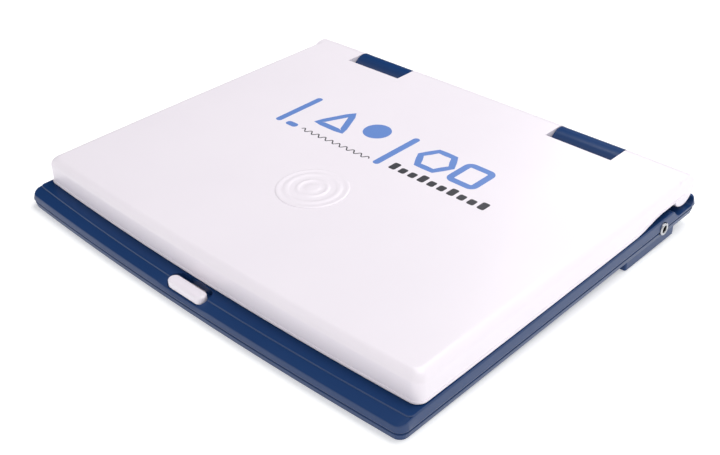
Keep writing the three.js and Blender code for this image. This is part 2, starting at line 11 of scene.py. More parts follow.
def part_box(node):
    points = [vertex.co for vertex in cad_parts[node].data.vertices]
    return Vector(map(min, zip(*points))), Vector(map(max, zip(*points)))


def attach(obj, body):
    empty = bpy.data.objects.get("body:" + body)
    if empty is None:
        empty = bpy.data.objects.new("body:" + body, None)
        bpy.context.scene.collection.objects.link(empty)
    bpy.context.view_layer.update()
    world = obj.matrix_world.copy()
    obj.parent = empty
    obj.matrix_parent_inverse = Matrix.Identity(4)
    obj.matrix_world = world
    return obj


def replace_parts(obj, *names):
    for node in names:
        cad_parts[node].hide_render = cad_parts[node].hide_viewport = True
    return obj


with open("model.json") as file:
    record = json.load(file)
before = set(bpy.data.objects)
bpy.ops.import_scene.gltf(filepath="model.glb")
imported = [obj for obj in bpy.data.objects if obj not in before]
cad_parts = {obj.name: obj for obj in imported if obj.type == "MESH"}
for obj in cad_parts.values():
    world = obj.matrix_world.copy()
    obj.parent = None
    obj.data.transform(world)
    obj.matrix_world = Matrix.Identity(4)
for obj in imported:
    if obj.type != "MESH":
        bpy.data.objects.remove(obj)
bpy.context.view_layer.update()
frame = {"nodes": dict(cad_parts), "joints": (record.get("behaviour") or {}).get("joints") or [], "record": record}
nodes = frame["nodes"]
joints = {j["name"]: j for j in frame["joints"]}
scene = bpy.context.scene
for plain in list(bpy.data.materials):
    bpy.data.materials.remove(plain)

# ---- driving dimensions, in millimetres with the case level ----
AXIS_Y, AXIS_Z = 116.5, 18.9
BARREL_R, BARREL_HALF, BARREL_ROUND = 10.4, 147.6, 0.9
KNUCKLE_X, KNUCKLE_HALF, KNUCKLE_R, KNUCKLE_WALL = 83.1, 22.4, 9.9, 2.2
LID_TOP, LID_BOTTOM, LID_FILLET = 29.3, 11.4, 5.5
LID_HALF, LID_FRONT, LID_BOW, LID_CORNER = 148.2, -115.2, 4.4, 6.0
LID_WALL, CAVITY_REAR = 2.4, 97.7
NECK_START, NECK_END, NECK_RISE = 65.0, 91.0, 4.2
CUT_FRONT, CUT_HALF = 102.3, 22.9
PIN_R = 2.15
CROWN_SIDE, CROWN_FRONT = 1.0, 0.5
SIDE_BOW = 0.5
BASE_HALF, BASE_FRONT, BASE_BOW, BASE_REAR, BASE_CORNER = 150.0, -129.0, 4.2, 129.3, 6
PART_Z, TOP_Z, CREASE_Z = 4.15, 11.0, 8.2
STEP_HALF, STEP_FRONT, STEP_BOW, STEP_CORNER = 148.7, -121.2, 5.4, 2.5
STEP_REAR = BASE_REAR - 1.3
HOLLOW_HALF, HOLLOW_FRONT, HOLLOW_BOW, HOLLOW_REAR = 147.4, -118.6, 5.2, 101.0
TROUGH_FRONT, TROUGH_REAR, TROUGH_FLOOR = 103.0, 125.6, 6.2
KEY_PITCH, KEY_W, KEY_D, KEY_SLACK, KEY_HOLE_CORNER = 20.0, 15.2, 14.2, 0.7, 1.6
KEY_ROWS = (("qwertyuiop", 48.0), ("asdfghjkl", 29.0), ("zxcvbnm", 10.0))
SPACE_Y, SPACE_W = -9.0, 94.0
DECK_HALF, DECK_FRONT, DECK_REAR, DECK_Z, DECK_UNDER = 107.0, -21.0, 60.0, 8.6, 7.0
STRIP_Y, STRIP_HALF, STRIP_D = 74.0, 71.0, 8.4
GRILLE_X, GRILLE_Y, GRILLE_SLOTS, GRILLE_PITCH = -112.0, -78.0, 7, 4.6
GRILLE_W, GRILLE_D = 1.9, 26
LATCH_Y, LATCH_W, LATCH_D, LATCH_TRAVEL, LATCH_FLOOR = -127.6, 27.8, 7.2, 1.5, 7.7
JACK_X, JACK_Y, JACK_Z, JACK_R = 149.4, 92.4, 5.3, 3.75

# The case stands higher at the rear: its own frame comes from the latch slide's line and the hinge.
slide = Vector(joints["latch_slide"]["axis"])
LEAN = math.atan2(slide.z, slide.y)
CASE = (
    Matrix.Translation(Vector(joints["lid_hinge"]["pos_m"]))
    @ Matrix.Rotation(LEAN, 4, "X")
    @ Matrix.Scale(0.001, 4)
    @ Matrix.Translation(Vector((0, -AXIS_Y, -AXIS_Z)))
)


# ---- outlines ----
def spaced(a, b, steps):
    return [a + (b - a) * i / steps for i in range(steps + 1)]


def arc(cx, cy, r, start, end, steps):
    return [
        (cx + r * math.cos(math.radians(a)), cy + r * math.sin(math.radians(a)))
        for a in spaced(start, end, steps)
    ]


def circle(cx, cy, r, steps=48):
    return arc(cx, cy, r, 0, 360, steps)[:-1]


def round_rect(cx, cy, w, d, r, steps=6):
    x, y = w / 2 - r, d / 2 - r
    return (
        arc(cx + x, cy - y, r, -90, 0, steps)
        + arc(cx + x, cy + y, r, 0, 90, steps)
        + arc(cx - x, cy + y, r, 90, 180, steps)
        + arc(cx - x, cy - y, r, 180, 270, steps)
    )


def half_outline(half, front, bow, rear, corner, rear_corner=0.5, across=20, turn=12, along=36):
    """Right half of a case outline seen from above, from the middle of the front edge to the rear."""
    slope = math.degrees(math.atan(2 * bow * (half - corner) / half**2))
    start = slope - 90
    edge = half - corner + corner * math.cos(math.radians(start))
    front_y = lambda x: front - bow * (1 - (x / half) ** 2)
    cy = front_y(edge) - corner * math.sin(math.radians(start))
    points = [(x, front_y(x)) for x in spaced(0, edge, across)]
    points += arc(half - corner, cy, corner, start, 0, turn)[1:]
    points += [(half, y) for y in spaced(cy, rear - rear_corner, along)[1:-1]]
    points += arc(half - rear_corner, rear - rear_corner, rear_corner, 0, 90, 4)
    return points


def lift(t):
    t = min(max(t, 0), 1)
    return t * t * (3 - 2 * t)


def neck_lift(y):
    return NECK_RISE * lift((y - NECK_START) / (NECK_END - NECK_START))


# ---- solids ----
def mesh_object(name, verts, faces):
    mesh = bpy.data.meshes.new(name)
    mesh.from_pydata([tuple(v) for v in verts], [], faces)
    bm = bmesh.new()
    bm.from_mesh(mesh)
    bmesh.ops.recalc_face_normals(bm, faces=bm.faces)
    bm.to_mesh(mesh)
    bm.free()
    obj = bpy.data.objects.new(name, mesh)
    scene.collection.objects.link(obj)
    return obj


def skin(name, rings):
    """Closed skin through rings of the same count, with a flat face at each end."""
    n = len(rings[0])
    faces = [
        (k * n + i, k * n + (i + 1) % n, (k + 1) * n + (i + 1) % n, (k + 1) * n + i)
        for k in range(len(rings) - 1)
        for i in range(n)
    ]
    last = (len(rings) - 1) * n
    faces += [tuple(range(n))[::-1], tuple(range(last, last + n))]
    return mesh_object(name, [p for ring in rings for p in ring], faces)


def shell_skin(name, rings):
    """Closed skin through mirrored right-half rings, capped by rungs from side to side."""
    n = len(rings[0])
    full = 2 * n - 1
    verts = []
    for ring in rings:
        verts += ring + [(-x, y, z) for x, y, z in ring[:0:-1]]
    faces = []
    for k in range(len(rings) - 1):
        for i in range(full):
            j = (i + 1) % full
            faces.append((k * full + i, k * full + j, (k + 1) * full + j, (k + 1) * full + i))
    for base in (0, (len(rings) - 1) * full):
        faces.append((base, base + 1, base + full - 1))
        for i in range(1, n - 1):
            faces.append((base + i, base + i + 1, base + full - i - 1, base + full - i))
    return mesh_object(name, verts, faces)


def prism(name, points, low, high, axis="z"):
    place = {"z": lambda a, b, c: (a, b, c), "x": lambda a, b, c: (c, a, b)}[axis]
    return skin(name, [[place(a, b, c) for a, b in points] for c in (low, high)])


def block(x0, x1, y0, y1, z0, z1):
    return prism("tool", [(x0, y0), (x1, y0), (x1, y1), (x0, y1)], z0, z1)


def rod_x(cy, cz, r, x0, x1, steps=48):
    return prism("tool", circle(cy, cz, r, steps), x0, x1, "x")


def lathe(name, profile, steps=64, centre=(0, 0, 0), axis="z"):
    """Solid of revolution of a profile of (radius, height) that starts and ends on the axis."""
    verts, faces, rows = [], [], []
    for r, h in profile:
        if r < 1e-6:
            rows.append([len(verts)] * steps)
            verts.append((0, 0, h))
        else:
            rows.append(list(range(len(verts), len(verts) + steps)))
            verts += [(x, y, h) for x, y in circle(0, 0, r, steps)]
    for low, high in zip(rows, rows[1:]):
        for i in range(steps):
            j = (i + 1) % steps
            loop = dict.fromkeys((low[i], low[j], high[j], high[i]))
            if len(loop) > 2:
                faces.append(tuple(loop))
    if axis == "x":
        verts = [(h, x, y) for x, y, h in verts]
    verts = [(x + centre[0], y + centre[1], z + centre[2]) for x, y, z in verts]
    return mesh_object(name, verts, faces)


def combine(body, tools, operation="DIFFERENCE"):
    for tool in tools:
        step = body.modifiers.new("step", "BOOLEAN")
        step.operation = operation
        step.solver = "EXACT"
        step.object = tool
    depsgraph = bpy.context.evaluated_depsgraph_get()
    mesh = bpy.data.meshes.new_from_object(body.evaluated_get(depsgraph))
    body.modifiers.clear()
    body.data = mesh
    for tool in tools:
        bpy.data.objects.remove(tool)
    return body


def soften(body, width, segments=3, least=40, where=None):
    """Rounds the outward sharp edges of a faceted solid."""
    bm = bmesh.new()
    bm.from_mesh(body.data)
    bmesh.ops.remove_doubles(bm, verts=bm.verts, dist=2e-3)
    bmesh.ops.dissolve_limit(bm, angle_limit=math.radians(0.3), verts=bm.verts, edges=bm.edges)
    sharp = [
        e
        for e in bm.edges
        if e.is_manifold
        and e.is_convex
        and e.calc_face_angle(0) > math.radians(least)
        and (where is None or where((e.verts[0].co + e.verts[1].co) / 2))
    ]
    bmesh.ops.bevel(
        bm, geom=sharp, offset=width, offset_type="OFFSET", segments=segments, profile=0.5,
        affect="EDGES", clamp_overlap=True,
    )
    bm.to_mesh(body.data)
    bm.free()
    return body


def reshape(body, move, xs=(), ys=()):
    """Cuts the solid's faces along the given lines, then moves every vertex."""
    bm = bmesh.new()
    bm.from_mesh(body.data)
    for normal, stops in (((1, 0, 0), xs), ((0, 1, 0), ys)):
        for s in stops:
            geom = bm.verts[:] + bm.edges[:] + bm.faces[:]
            point = [s * n for n in normal]
            bmesh.ops.bisect_plane(bm, geom=geom, plane_co=point, plane_no=normal, dist=1e-3)
    for v in bm.verts:
        v.co = move(v.co)
    bm.to_mesh(body.data)
    bm.free()
    return body


def smooth(obj, angle=42):
    for poly in obj.data.polygons:
        poly.use_smooth = True
    obj.data.set_sharp_from_angle(angle=math.radians(angle))
    even = obj.modifiers.new("even_normals", "WEIGHTED_NORMAL")
    even.keep_sharp = True
    even.weight = 60
    return obj


def finish_piece(obj, body, material, angle=42, transform=CASE):
    obj.data.transform(transform)
    obj.data.materials.clear()
    obj.data.materials.append(material)
    for poly in obj.data.polygons:
        poly.material_index = 0
    smooth(obj, angle)
    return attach(obj, body)


# ---- materials ----
def map_range(tree, source, from_span, to_span, smooth_ends=False):
    """Socket whose value runs over one span while the source runs over the other."""
    node = tree.nodes.new("ShaderNodeMapRange")
    if smooth_ends:
        node.interpolation_type = "SMOOTHSTEP"
    for label, span in (("From", from_span), ("To", to_span)):
        node.inputs[f"{label} Min"].default_value = span[0]
        node.inputs[f"{label} Max"].default_value = span[1]
    tree.links.new(source, node.inputs["Value"])
    return node.outputs["Result"]


def moulded(
    name, color, roughness, second=None, coat=0.0, metallic=0.0, grain=900.0, bump=0.05, ior=1.5
):
    """Moulded or plated surface: broad tone drift, fine grain in the relief and in the gloss."""
    material = bpy.data.materials.new(name)
    material.use_nodes = True
    tree = material.node_tree
    shader = tree.nodes["Principled BSDF"]
    where = tree.nodes.new("ShaderNodeTexCoord").outputs["Object"]
    broad = tree.nodes.new("ShaderNodeTexNoise")
    broad.inputs["Scale"].default_value = 14.0
    broad.inputs["Detail"].default_value = 3.0
    fine = tree.nodes.new("ShaderNodeTexNoise")
    fine.inputs["Scale"].default_value = grain
    fine.inputs["Detail"].default_value = 2.0
    for noise in (broad, fine):
        tree.links.new(where, noise.inputs["Vector"])
    tone = tree.nodes.new("ShaderNodeValToRGB")
    tone.color_ramp.elements[0].position = 0.3
    tone.color_ramp.elements[1].position = 0.7
    tone.color_ramp.elements[0].color = (*color, 1)
    tone.color_ramp.elements[1].color = (*(second or [c * 0.96 for c in color]), 1)
    tree.links.new(broad.outputs["Fac"], tone.inputs["Fac"])
    tree.links.new(tone.outputs["Color"], shader.inputs["Base Color"])
    dull = min(roughness * 1.12, 1.0)
    gloss = map_range(tree, fine.outputs["Fac"], (0, 1), (roughness * 0.88, dull))
    tree.links.new(gloss, shader.inputs["Roughness"])
    relief = tree.nodes.new("ShaderNodeBump")
    relief.inputs["Strength"].default_value = bump
    relief.inputs["Distance"].default_value = 0.0002
    tree.links.new(fine.outputs["Fac"], relief.inputs["Height"])
    tree.links.new(relief.outputs["Normal"], shader.inputs["Normal"])
    shader.inputs["Metallic"].default_value = metallic
    shader.inputs["IOR"].default_value = ior
    shader.inputs["Coat Weight"].default_value = coat
    shader.inputs["Coat Roughness"].default_value = 0.08
    return material


SHELL = {"bump": 0.02, "grain": 2600, "ior": 1.38}
WHITE = moulded("white_gloss", (0.885, 0.83, 0.893), 0.3, (0.865, 0.81, 0.875), coat=0.1, bump=0.02)
NAVY = moulded("navy_case", (0.009, 0.038, 0.130), 0.32, (0.010, 0.041, 0.138), **SHELL)
NAVY_TOP = moulded("navy_case_top", (0.009, 0.038, 0.132), 0.30, (0.010, 0.041, 0.140), **SHELL)
BEZEL = moulded("bezel_plastic", (0.66, 0.65, 0.71), 0.45, bump=0.12, grain=1400)
KEYCAP = moulded("key_plastic", (0.80, 0.78, 0.83), 0.4, bump=0.08)
BLUE_RUBBER = moulded("blue_silicone", (0.10, 0.27, 0.62), 0.55, (0.11, 0.29, 0.65), bump=0.1)
MAT_RUBBER = moulded("silicone_mat", (0.45, 0.47, 0.52), 0.65, bump=0.1)
RUBBER = moulded(
    "foot_rubber", (0.035, 0.038, 0.045), 0.75, (0.05, 0.052, 0.06), bump=0.25, grain=1500
)
BLACK = moulded("black_moulding", (0.02, 0.02, 0.022), 0.5, (0.03, 0.03, 0.032), bump=0.15)
CHROME = moulded("chrome_ring", (0.50, 0.51, 0.53), 0.22, metallic=1.0, bump=0.02)
CONTACT = moulded("contact_metal", (0.70, 0.69, 0.66), 0.3, metallic=1.0, bump=0.08)
PIN = moulded("pin_steel", (0.56, 0.57, 0.58), 0.28, metallic=1.0, bump=0.08)
SCREW = moulded("screw_steel", (0.50, 0.50, 0.51), 0.33, metallic=1.0, bump=0.1)
CELL = moulded("cell_skin", (0.03, 0.033, 0.04), 0.35, (0.05, 0.05, 0.055), coat=0.4, bump=0.03)
BOARD = moulded(
    "circuit_board", (0.02, 0.15, 0.06), 0.45, (0.03, 0.19, 0.08), coat=0.3, bump=0.2, grain=500
)
PANEL = moulded("lcd_panel", (0.27, 0.31, 0.24), 0.32, (0.25, 0.29, 0.225), coat=0.3, bump=0.02)
PRINT_BLUE = moulded("print_blue", (0.13, 0.245, 0.59), 0.4, (0.135, 0.255, 0.61), bump=0.03)
PRINT_DARK = moulded("print_dark", (0.035, 0.035, 0.045), 0.45, (0.045, 0.045, 0.055), bump=0.03)
LEGEND = moulded("legend_ink", (0.03, 0.06, 0.16), 0.5, (0.04, 0.07, 0.18), bump=0.03)
WINDOW = moulded("clear_window", (0.75, 0.80, 0.80), 0.06, bump=0.0)
WINDOW.node_tree.nodes["Principled BSDF"].inputs["Transmission Weight"].default_value = 0.92

# Surfaces that face straight up mirror less. This is a choice, made to match the look of the photo.
# Painted shade: up-facing faces of this navy lose most of their mirror gloss, so the ledge in front of the lid
# looks shaded.
tree = NAVY_TOP.node_tree
split = tree.nodes.new("ShaderNodeSeparateXYZ")
tree.links.new(tree.nodes.new("ShaderNodeNewGeometry").outputs["Normal"], split.inputs[0])
painted_shade_mirroring = map_range(tree, split.outputs["Z"], (0.9, 0.985), (0.75, 0.08))
tree.links.new(painted_shade_mirroring, tree.nodes["Principled BSDF"].inputs["Specular IOR Level"])

SLOTS = {
    m.name: m
    for m in (
        WHITE, NAVY, NAVY_TOP, BEZEL, KEYCAP, BLUE_RUBBER, MAT_RUBBER, RUBBER, BLACK, CHROME, CONTACT,
        PIN, SCREW, CELL, BOARD, PANEL, WINDOW,
    )
}


# ---- CAD nodes that stay: finer edges and a finish ----
EDGE_ROUND = {
    "bottom_case": 0.0004, "battery_door": 0.0003, "lid_bezel": 0.0003, "function_strip": 0.0003,
}
SMALL_ROUND = 0.00012
KEY_ROUND = 0.0005

for part in frame["record"]["subparts"]:
    name = part["node"]
    node = nodes[name]
    node.data.materials.clear()
    node.data.materials.append(SLOTS[part["material_slot"]])
    is_key = name.startswith("key_") and name != "key_mat"
    weld = node.modifiers.new("weld", "WELD")
    weld.merge_threshold = 2e-6
    flat = node.modifiers.new("flat_faces", "DECIMATE")
    flat.decimate_type = "DISSOLVE"
    flat.angle_limit = math.radians(0.4)
    edge = node.modifiers.new("edge_round", "BEVEL")
    edge.width = KEY_ROUND if is_key else EDGE_ROUND.get(name, SMALL_ROUND)
    edge.segments = 2
    edge.limit_method = "ANGLE"
    edge.angle_limit = math.radians(40)
    edge.use_clamp_overlap = True
    even = node.modifiers.new("even_normals", "WEIGHTED_NORMAL")
    even.keep_sharp = True
    even.weight = 60


# ---- lid ----
def crown(x, y):
    """How far the lid's gently domed top lies under its highest line."""
    return CROWN_SIDE * (x / LID_HALF) ** 2 + CROWN_FRONT * max(0, -(y - 10) / 130) ** 2


def lid_half(inset, rear):
    return half_outline(
        LID_HALF - inset, LID_FRONT + inset, LID_BOW, rear, max(LID_CORNER - inset * 0.5, 3)
    )


def lid_ring(inset, z):
    side_top = LID_TOP - LID_FILLET
    share = max(0, 1 - (z - LID_BOTTOM) / (side_top - LID_BOTTOM))
    return [(x, y, z + neck_lift(y) * share) for x, y in lid_half(inset, AXIS_Y)]


def cavity_ring(inset, z):
    return [(x, y, z) for x, y in lid_half(inset, CAVITY_REAR)]


LIP = [(0.55, 0.0), (0.16, 0.12), (0.0, 0.5), (0.0, 1.35), (0.12, 1.62), (0.45, 1.75)]
lid_rings = [lid_ring(inset, LID_BOTTOM + up) for inset, up in LIP]
for a in spaced(0, 90, 14):
    a = math.radians(a)
    inset = 0.5 + LID_FILLET * (1 - math.cos(a))
    lid_rings.append(lid_ring(inset, LID_TOP - LID_FILLET + LID_FILLET * math.sin(a)))
lid = shell_skin("lid_shell", lid_rings)

ends = [
    (BARREL_ROUND * (1 - math.cos(math.radians(a))), BARREL_ROUND * math.sin(math.radians(a)))
    for a in spaced(90, 0, 5)
]
barrel_rings = [
    [(x, y, z) for y, z in circle(AXIS_Y, AXIS_Z, BARREL_R - BARREL_ROUND + out, 96)]
    for x, out in [(-BARREL_HALF + BARREL_ROUND - d2, BARREL_ROUND - d1) for d1, d2 in ends]
    + [(BARREL_HALF - BARREL_ROUND + d2, BARREL_ROUND - d1) for d1, d2 in ends[::-1]]
]
barrel = skin("tool", barrel_rings)
combine(lid, [barrel], "UNION")
cutters = [
    block(s * KNUCKLE_X - CUT_HALF, s * KNUCKLE_X + CUT_HALF, CUT_FRONT, 160, -20, 60)
    for s in (-1, 1)
]
cavity = ((0, 5), (0, 18.2), (1.2, 23.3), (4.2, 27.3))
cutters.append(shell_skin("tool", [cavity_ring(LID_WALL + more, z) for more, z in cavity]))
combine(lid, cutters)


def on_cut(co):
    return co.z > 14 and co.y > CUT_FRONT - 0.5 and abs(abs(co.x) - KNUCKLE_X) < CUT_HALF + 0.5


soften(lid, 1.1, segments=4, least=50, where=on_cut)
soften(lid, 0.5, segments=3, least=50, where=lambda co: not on_cut(co))


def lid_place(co):
    x, y, z = co
    height = min(max((z - LID_BOTTOM) / (LID_TOP - LID_BOTTOM), 0), 1)
    bulge = SIDE_BOW * (1 - ((y + 5) / 118) ** 2) * lift((abs(x) - 120) / 20)
    return Vector((x + math.copysign(bulge, x), y, z - crown(x, y) * height))


reshape(lid, lid_place, xs=spaced(-140, 140, 14), ys=spaced(-110, 110, 11))
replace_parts(finish_piece(lid, "lid", WHITE), "lid_cover")


# ---- upper base shell ----
def base_half(inset):
    return half_outline(
        BASE_HALF - inset, BASE_FRONT + inset, BASE_BOW, BASE_REAR - inset,
        BASE_CORNER - min(inset, 3), rear_corner=3,
    )


def crease_ring(inset, under):
    """Outer edge of the front slope: low along the front, rising round the corners to the flat top."""
    ring = []
    for x, y in base_half(inset):
        run = (x / (BASE_HALF - inset)) ** 2
        outer = BASE_FRONT + inset - BASE_BOW * (1 - run)
        inner = STEP_FRONT - STEP_BOW * (1 - run)
        along = min(max((y - outer) / (inner - outer), 0), 1)
        dip = 0.9 * lift((22 - abs(x)) / 12) * (1 - along)
        ring.append((x, y, CREASE_Z + (TOP_Z - 0.4 - CREASE_Z) * along - dip - under))
    return ring


def step_ring(out, ahead, z, drop=0.0):
    """Inner edge of the front slope, with a small riser along the front that fades at the sides."""
    plan = half_outline(
        STEP_HALF + out, STEP_FRONT - ahead, STEP_BOW, STEP_REAR + out, STEP_CORNER + out,
        rear_corner=3,
    )
    return [(x, y, z - drop * lift((-y - 114) / 6)) for x, y in plan]


def hollow_tool(front, bow, high):
    plan = half_outline(HOLLOW_HALF, front, bow, HOLLOW_REAR, 6, rear_corner=1)
    return shell_skin("tool", [[(x, y, z) for x, y in plan] for z in (0, high)])


base_top = shell_skin(
    "base_top_shell",
    [
        [(x, y, PART_Z + up) for x, y in base_half(inset)]
        for inset, up in ((1.2, 0), (0.8, 0.15), (0.35, 0.5), (0.08, 0.95), (0, 1.4))
    ]
    + [
        crease_ring(0.62, 0.75), crease_ring(0.8, 0.22), crease_ring(1.05, -0.04),
        step_ring(0.24, 0.6, TOP_Z - 0.24, 0.6), step_ring(0.2, 0.5, TOP_Z - 0.15, 0.25),
        step_ring(0.1, 0.3, TOP_Z - 0.05, 0.04), step_ring(0, 0, TOP_Z), step_ring(-0.5, -0.8, TOP_Z),
    ],
)
hollow = hollow_tool(HOLLOW_FRONT, HOLLOW_BOW, TOP_Z - 1.8)
front_hollow = hollow_tool(BASE_FRONT + 2.2, BASE_BOW, CREASE_Z - 2)
combine(hollow, [front_hollow], "UNION")
combine(hollow, [
    block(-24, 24, -140, -108, CREASE_Z - 2, TOP_Z),
    block(-DECK_HALF - 2, DECK_HALF + 2, DECK_FRONT - 2, DECK_REAR + 1, DECK_UNDER, TOP_Z),
])
trough = prism(
    "tool",
    [(TROUGH_FRONT, 40), (TROUGH_FRONT, TOP_Z)]
    + arc(TROUGH_FRONT + 7.5, TROUGH_FLOOR + 6.2, 6.2, 200, 270, 14)
    + arc(TROUGH_REAR - 3, TROUGH_FLOOR + 3, 3, 270, 360, 10)
    + [(TROUGH_REAR, 40)],
    -160, 160, "x",
)
rear_hollow = prism(
    "tool",
    [
        (TROUGH_FRONT + 1, 0), (BASE_REAR - 3.2, 0), (BASE_REAR - 3.2, 4.7), (TROUGH_FRONT + 5, 4.7),
    ],
    -HOLLOW_HALF, HOLLOW_HALF, "x",
)


def opening(x, y, w, d, corner, low=0, high=20, steps=6):
    """Upright cutter for a rounded opening in the upper shell."""
    return prism("tool", round_rect(x, y, w, d, corner, steps), low, high)


def key_opening(x, y, w):
    return opening(x, y, w + KEY_SLACK, KEY_D + KEY_SLACK, KEY_HOLE_CORNER)


deck_middle, deck_d = (DECK_FRONT + DECK_REAR) / 2, DECK_REAR - DECK_FRONT
holes = [hollow, trough, rear_hollow, opening(0, deck_middle, 2 * DECK_HALF, deck_d, 2.5, DECK_Z, 40)]
for letters, y in KEY_ROWS:
    for i in range(len(letters)):
        x = (i - (len(letters) - 1) / 2) * KEY_PITCH
        holes.append(key_opening(x, y, KEY_W))
holes.append(key_opening(0, SPACE_Y, SPACE_W))
holes.append(opening(0, STRIP_Y, 2 * STRIP_HALF + 0.8, STRIP_D + 0.8, 2))
for i in range(GRILLE_SLOTS):
    x = GRILLE_X + (i - (GRILLE_SLOTS - 1) / 2) * GRILLE_PITCH
    holes.append(opening(x, GRILLE_Y, GRILLE_W, GRILLE_D, 0.9, 5))
holes += [
    opening(0, LATCH_Y + LATCH_TRAVEL, LATCH_W + 2.6, LATCH_D + 4.2, 5.2, LATCH_FLOOR, 30, 12),
    block(-6.4, 6.4, -127, -119.6, 0, 12),
    block(-6.4, 6.4, -114.2, -109.6, 0, 20),
    block(-11.5, 11.5, -128.4, -107.8, 3.4, 6.5),
    rod_x(JACK_Y, JACK_Z, JACK_R + 0.3, 144, 156),
]
combine(base_top, holes)
knuckles, insides = [], []
for side in (-1, 1):
    x0, x1 = side * KNUCKLE_X - KNUCKLE_HALF, side * KNUCKLE_X + KNUCKLE_HALF
    drum = rod_x(AXIS_Y, AXIS_Z, KNUCKLE_R, x0, x1, 96)
    foot = block(x0, x1, AXIS_Y - 8.5, AXIS_Y + 8, 4.6, AXIS_Z - 4)
    knuckles.append(combine(drum, [foot], "UNION"))
    x2, x3 = x0 + KNUCKLE_WALL, x1 - KNUCKLE_WALL
    insides.append(block(x2, x3, AXIS_Y - 6, AXIS_Y + 5.5, 2, AXIS_Z - 1))
    insides.append(rod_x(AXIS_Y, AXIS_Z, PIN_R, x0 - 1, x1 + 1, 32))
combine(base_top, knuckles, "UNION")
combine(base_top, insides)
soften(base_top, 0.35, segments=2, least=45)
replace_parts(finish_piece(base_top, "base", NAVY_TOP, 38), "top_case")

# ---- latch ----
pill = [(8.0, 0), (11.0, 0), (11.5, 0.12), (11.85, 0.38), (12.08, 0.78), (12.2, 1.3), (12.24, 2.2)]
pill_rings = []
for z, inset in pill:
    depth = LATCH_D - 2 * inset
    plan = round_rect(0, LATCH_Y, LATCH_W - 2 * inset, depth, depth / 2 - 0.05, 12)
    pill_rings.append([(x, y, z) for x, y in plan])
latch = skin("latch_pad", pill_rings)
tongue = block(-11, 11, -127.9, -110.4, 4.3, 5.9)
combine(tongue, [block(-6.2, 6.2, -116.9, -111.4, 0, 10)])
combine(latch, [block(-5.8, 5.8, -126.6, -124.4, 5.5, 9), tongue], "UNION")
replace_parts(finish_piece(latch, "latch", WHITE, 50), "latch_button")


# ---- lid print: plain generic marks ----
def stroke(points, width, closed=False):
    """Outline of a ribbon that follows the points."""
    left, right = [], []
    n = len(points)
    for i, (x, y) in enumerate(points):
        before = points[(i - 1) % n if closed else max(i - 1, 0)]
        after = points[(i + 1) % n if closed else min(i + 1, n - 1)]
        dx, dy = after[0] - before[0], after[1] - before[1]
        size = math.hypot(dx, dy)
        off = (-dy / size * width / 2, dx / size * width / 2)
        left.append((x + off[0], y + off[1]))
        right.append((x - off[0], y - off[1]))
    return left, right


def printed(name, shapes, material, thick=0.05):
    """Thin ink prisms lying on the domed lid. A shape is a filled outline or a (left, right) ribbon."""
    verts, faces = [], []
    for shape in shapes:
        ribbon = isinstance(shape, tuple)
        closed = ribbon and len(shape) == 3
        rails = shape[:2] if ribbon else (shape,)
        n = len(rails[0])
        start = len(verts)
        for sunk in (0, 1):
            for rail in rails:
                for x, y in rail:
                    top = LID_TOP - crown(x, y)
                    verts.append((x, y, top - 0.2 if sunk else top + thick))
        if not ribbon:
            faces.append(tuple(range(start, start + n)))
            faces.append(tuple(range(start + n, start + 2 * n))[::-1])
            for i in range(n):
                j = (i + 1) % n
                faces.append((start + i, start + n + i, start + n + j, start + j))
            continue
        a, b, c, d = start, start + n, start + 2 * n, start + 3 * n
        for i in range(n if closed else n - 1):
            j = (i + 1) % n
            faces += [
                (a + i, a + j, b + j, b + i), (c + i, d + i, d + j, c + j),
                (a + i, c + i, c + j, a + j), (b + i, b + j, d + j, d + i),
            ]
        if not closed:
            e = n - 1
            faces += [(a, b, d, c), (a + e, c + e, d + e, b + e)]
    return finish_piece(mesh_object(name, verts, faces), "lid", material, 30)


def ring(points, width):
    return (*stroke(points, width, closed=True), True)


def dense(points, step=4):
    """The closed outline with extra points along its long sides."""
    out = []
    for p, q in zip(points, points[1:] + points[:1]):
        count = max(1, int(math.dist(p, q) / step))
        for i in range(count):
            out.append((p[0] + (q[0] - p[0]) * i / count, p[1] + (q[1] - p[1]) * i / count))
    return out


INK_MIDDLE = 34.0
INK_WIDTH = 4.4
HEXAGON_X, HEXAGON_R = 31.5, 11.6
triangle = dense([(-56.0, 23.0), (-35.0, 23.0), (-45.5, 45.0)])
turns = [math.radians(60 * k) for k in range(6)]
hexagon = [(HEXAGON_X + HEXAGON_R * math.cos(a), INK_MIDDLE + HEXAGON_R * math.sin(a)) for a in turns]
printed(
    "lid_print_shapes",
    [
        round_rect(-77.2, 27.8, 4.6, 39.5, 2.2),
        round_rect(-66.0, 10.4, 9.0, 4.6, 2.2),
        ring(triangle, INK_WIDTH),
        circle(-19.0, INK_MIDDLE + 4.0, 9.0),
        round_rect(6.2, 27.8, 4.6, 39.5, 2.2),
        ring(dense(hexagon), INK_WIDTH),
        ring(dense(round_rect(57.5, INK_MIDDLE, 17, 20, 3)), INK_WIDTH),
    ],
    PRINT_BLUE,
)
wave = [(x, 10.2 + 1.5 * math.sin((x + 57) * 1.05)) for x in spaced(-57, 0, 150)]
printed("lid_print_wave", [stroke(wave, 0.75)], PRINT_DARK)
dashes = []
for k in range(10):
    y, d = (12.6, 5.4) if k % 3 else (13.6, 7.4)
    dashes.append(round_rect(17.5 + 7.2 * k, y, 4.8, d, 1.2))
printed("lid_print_dashes", dashes, PRINT_DARK)

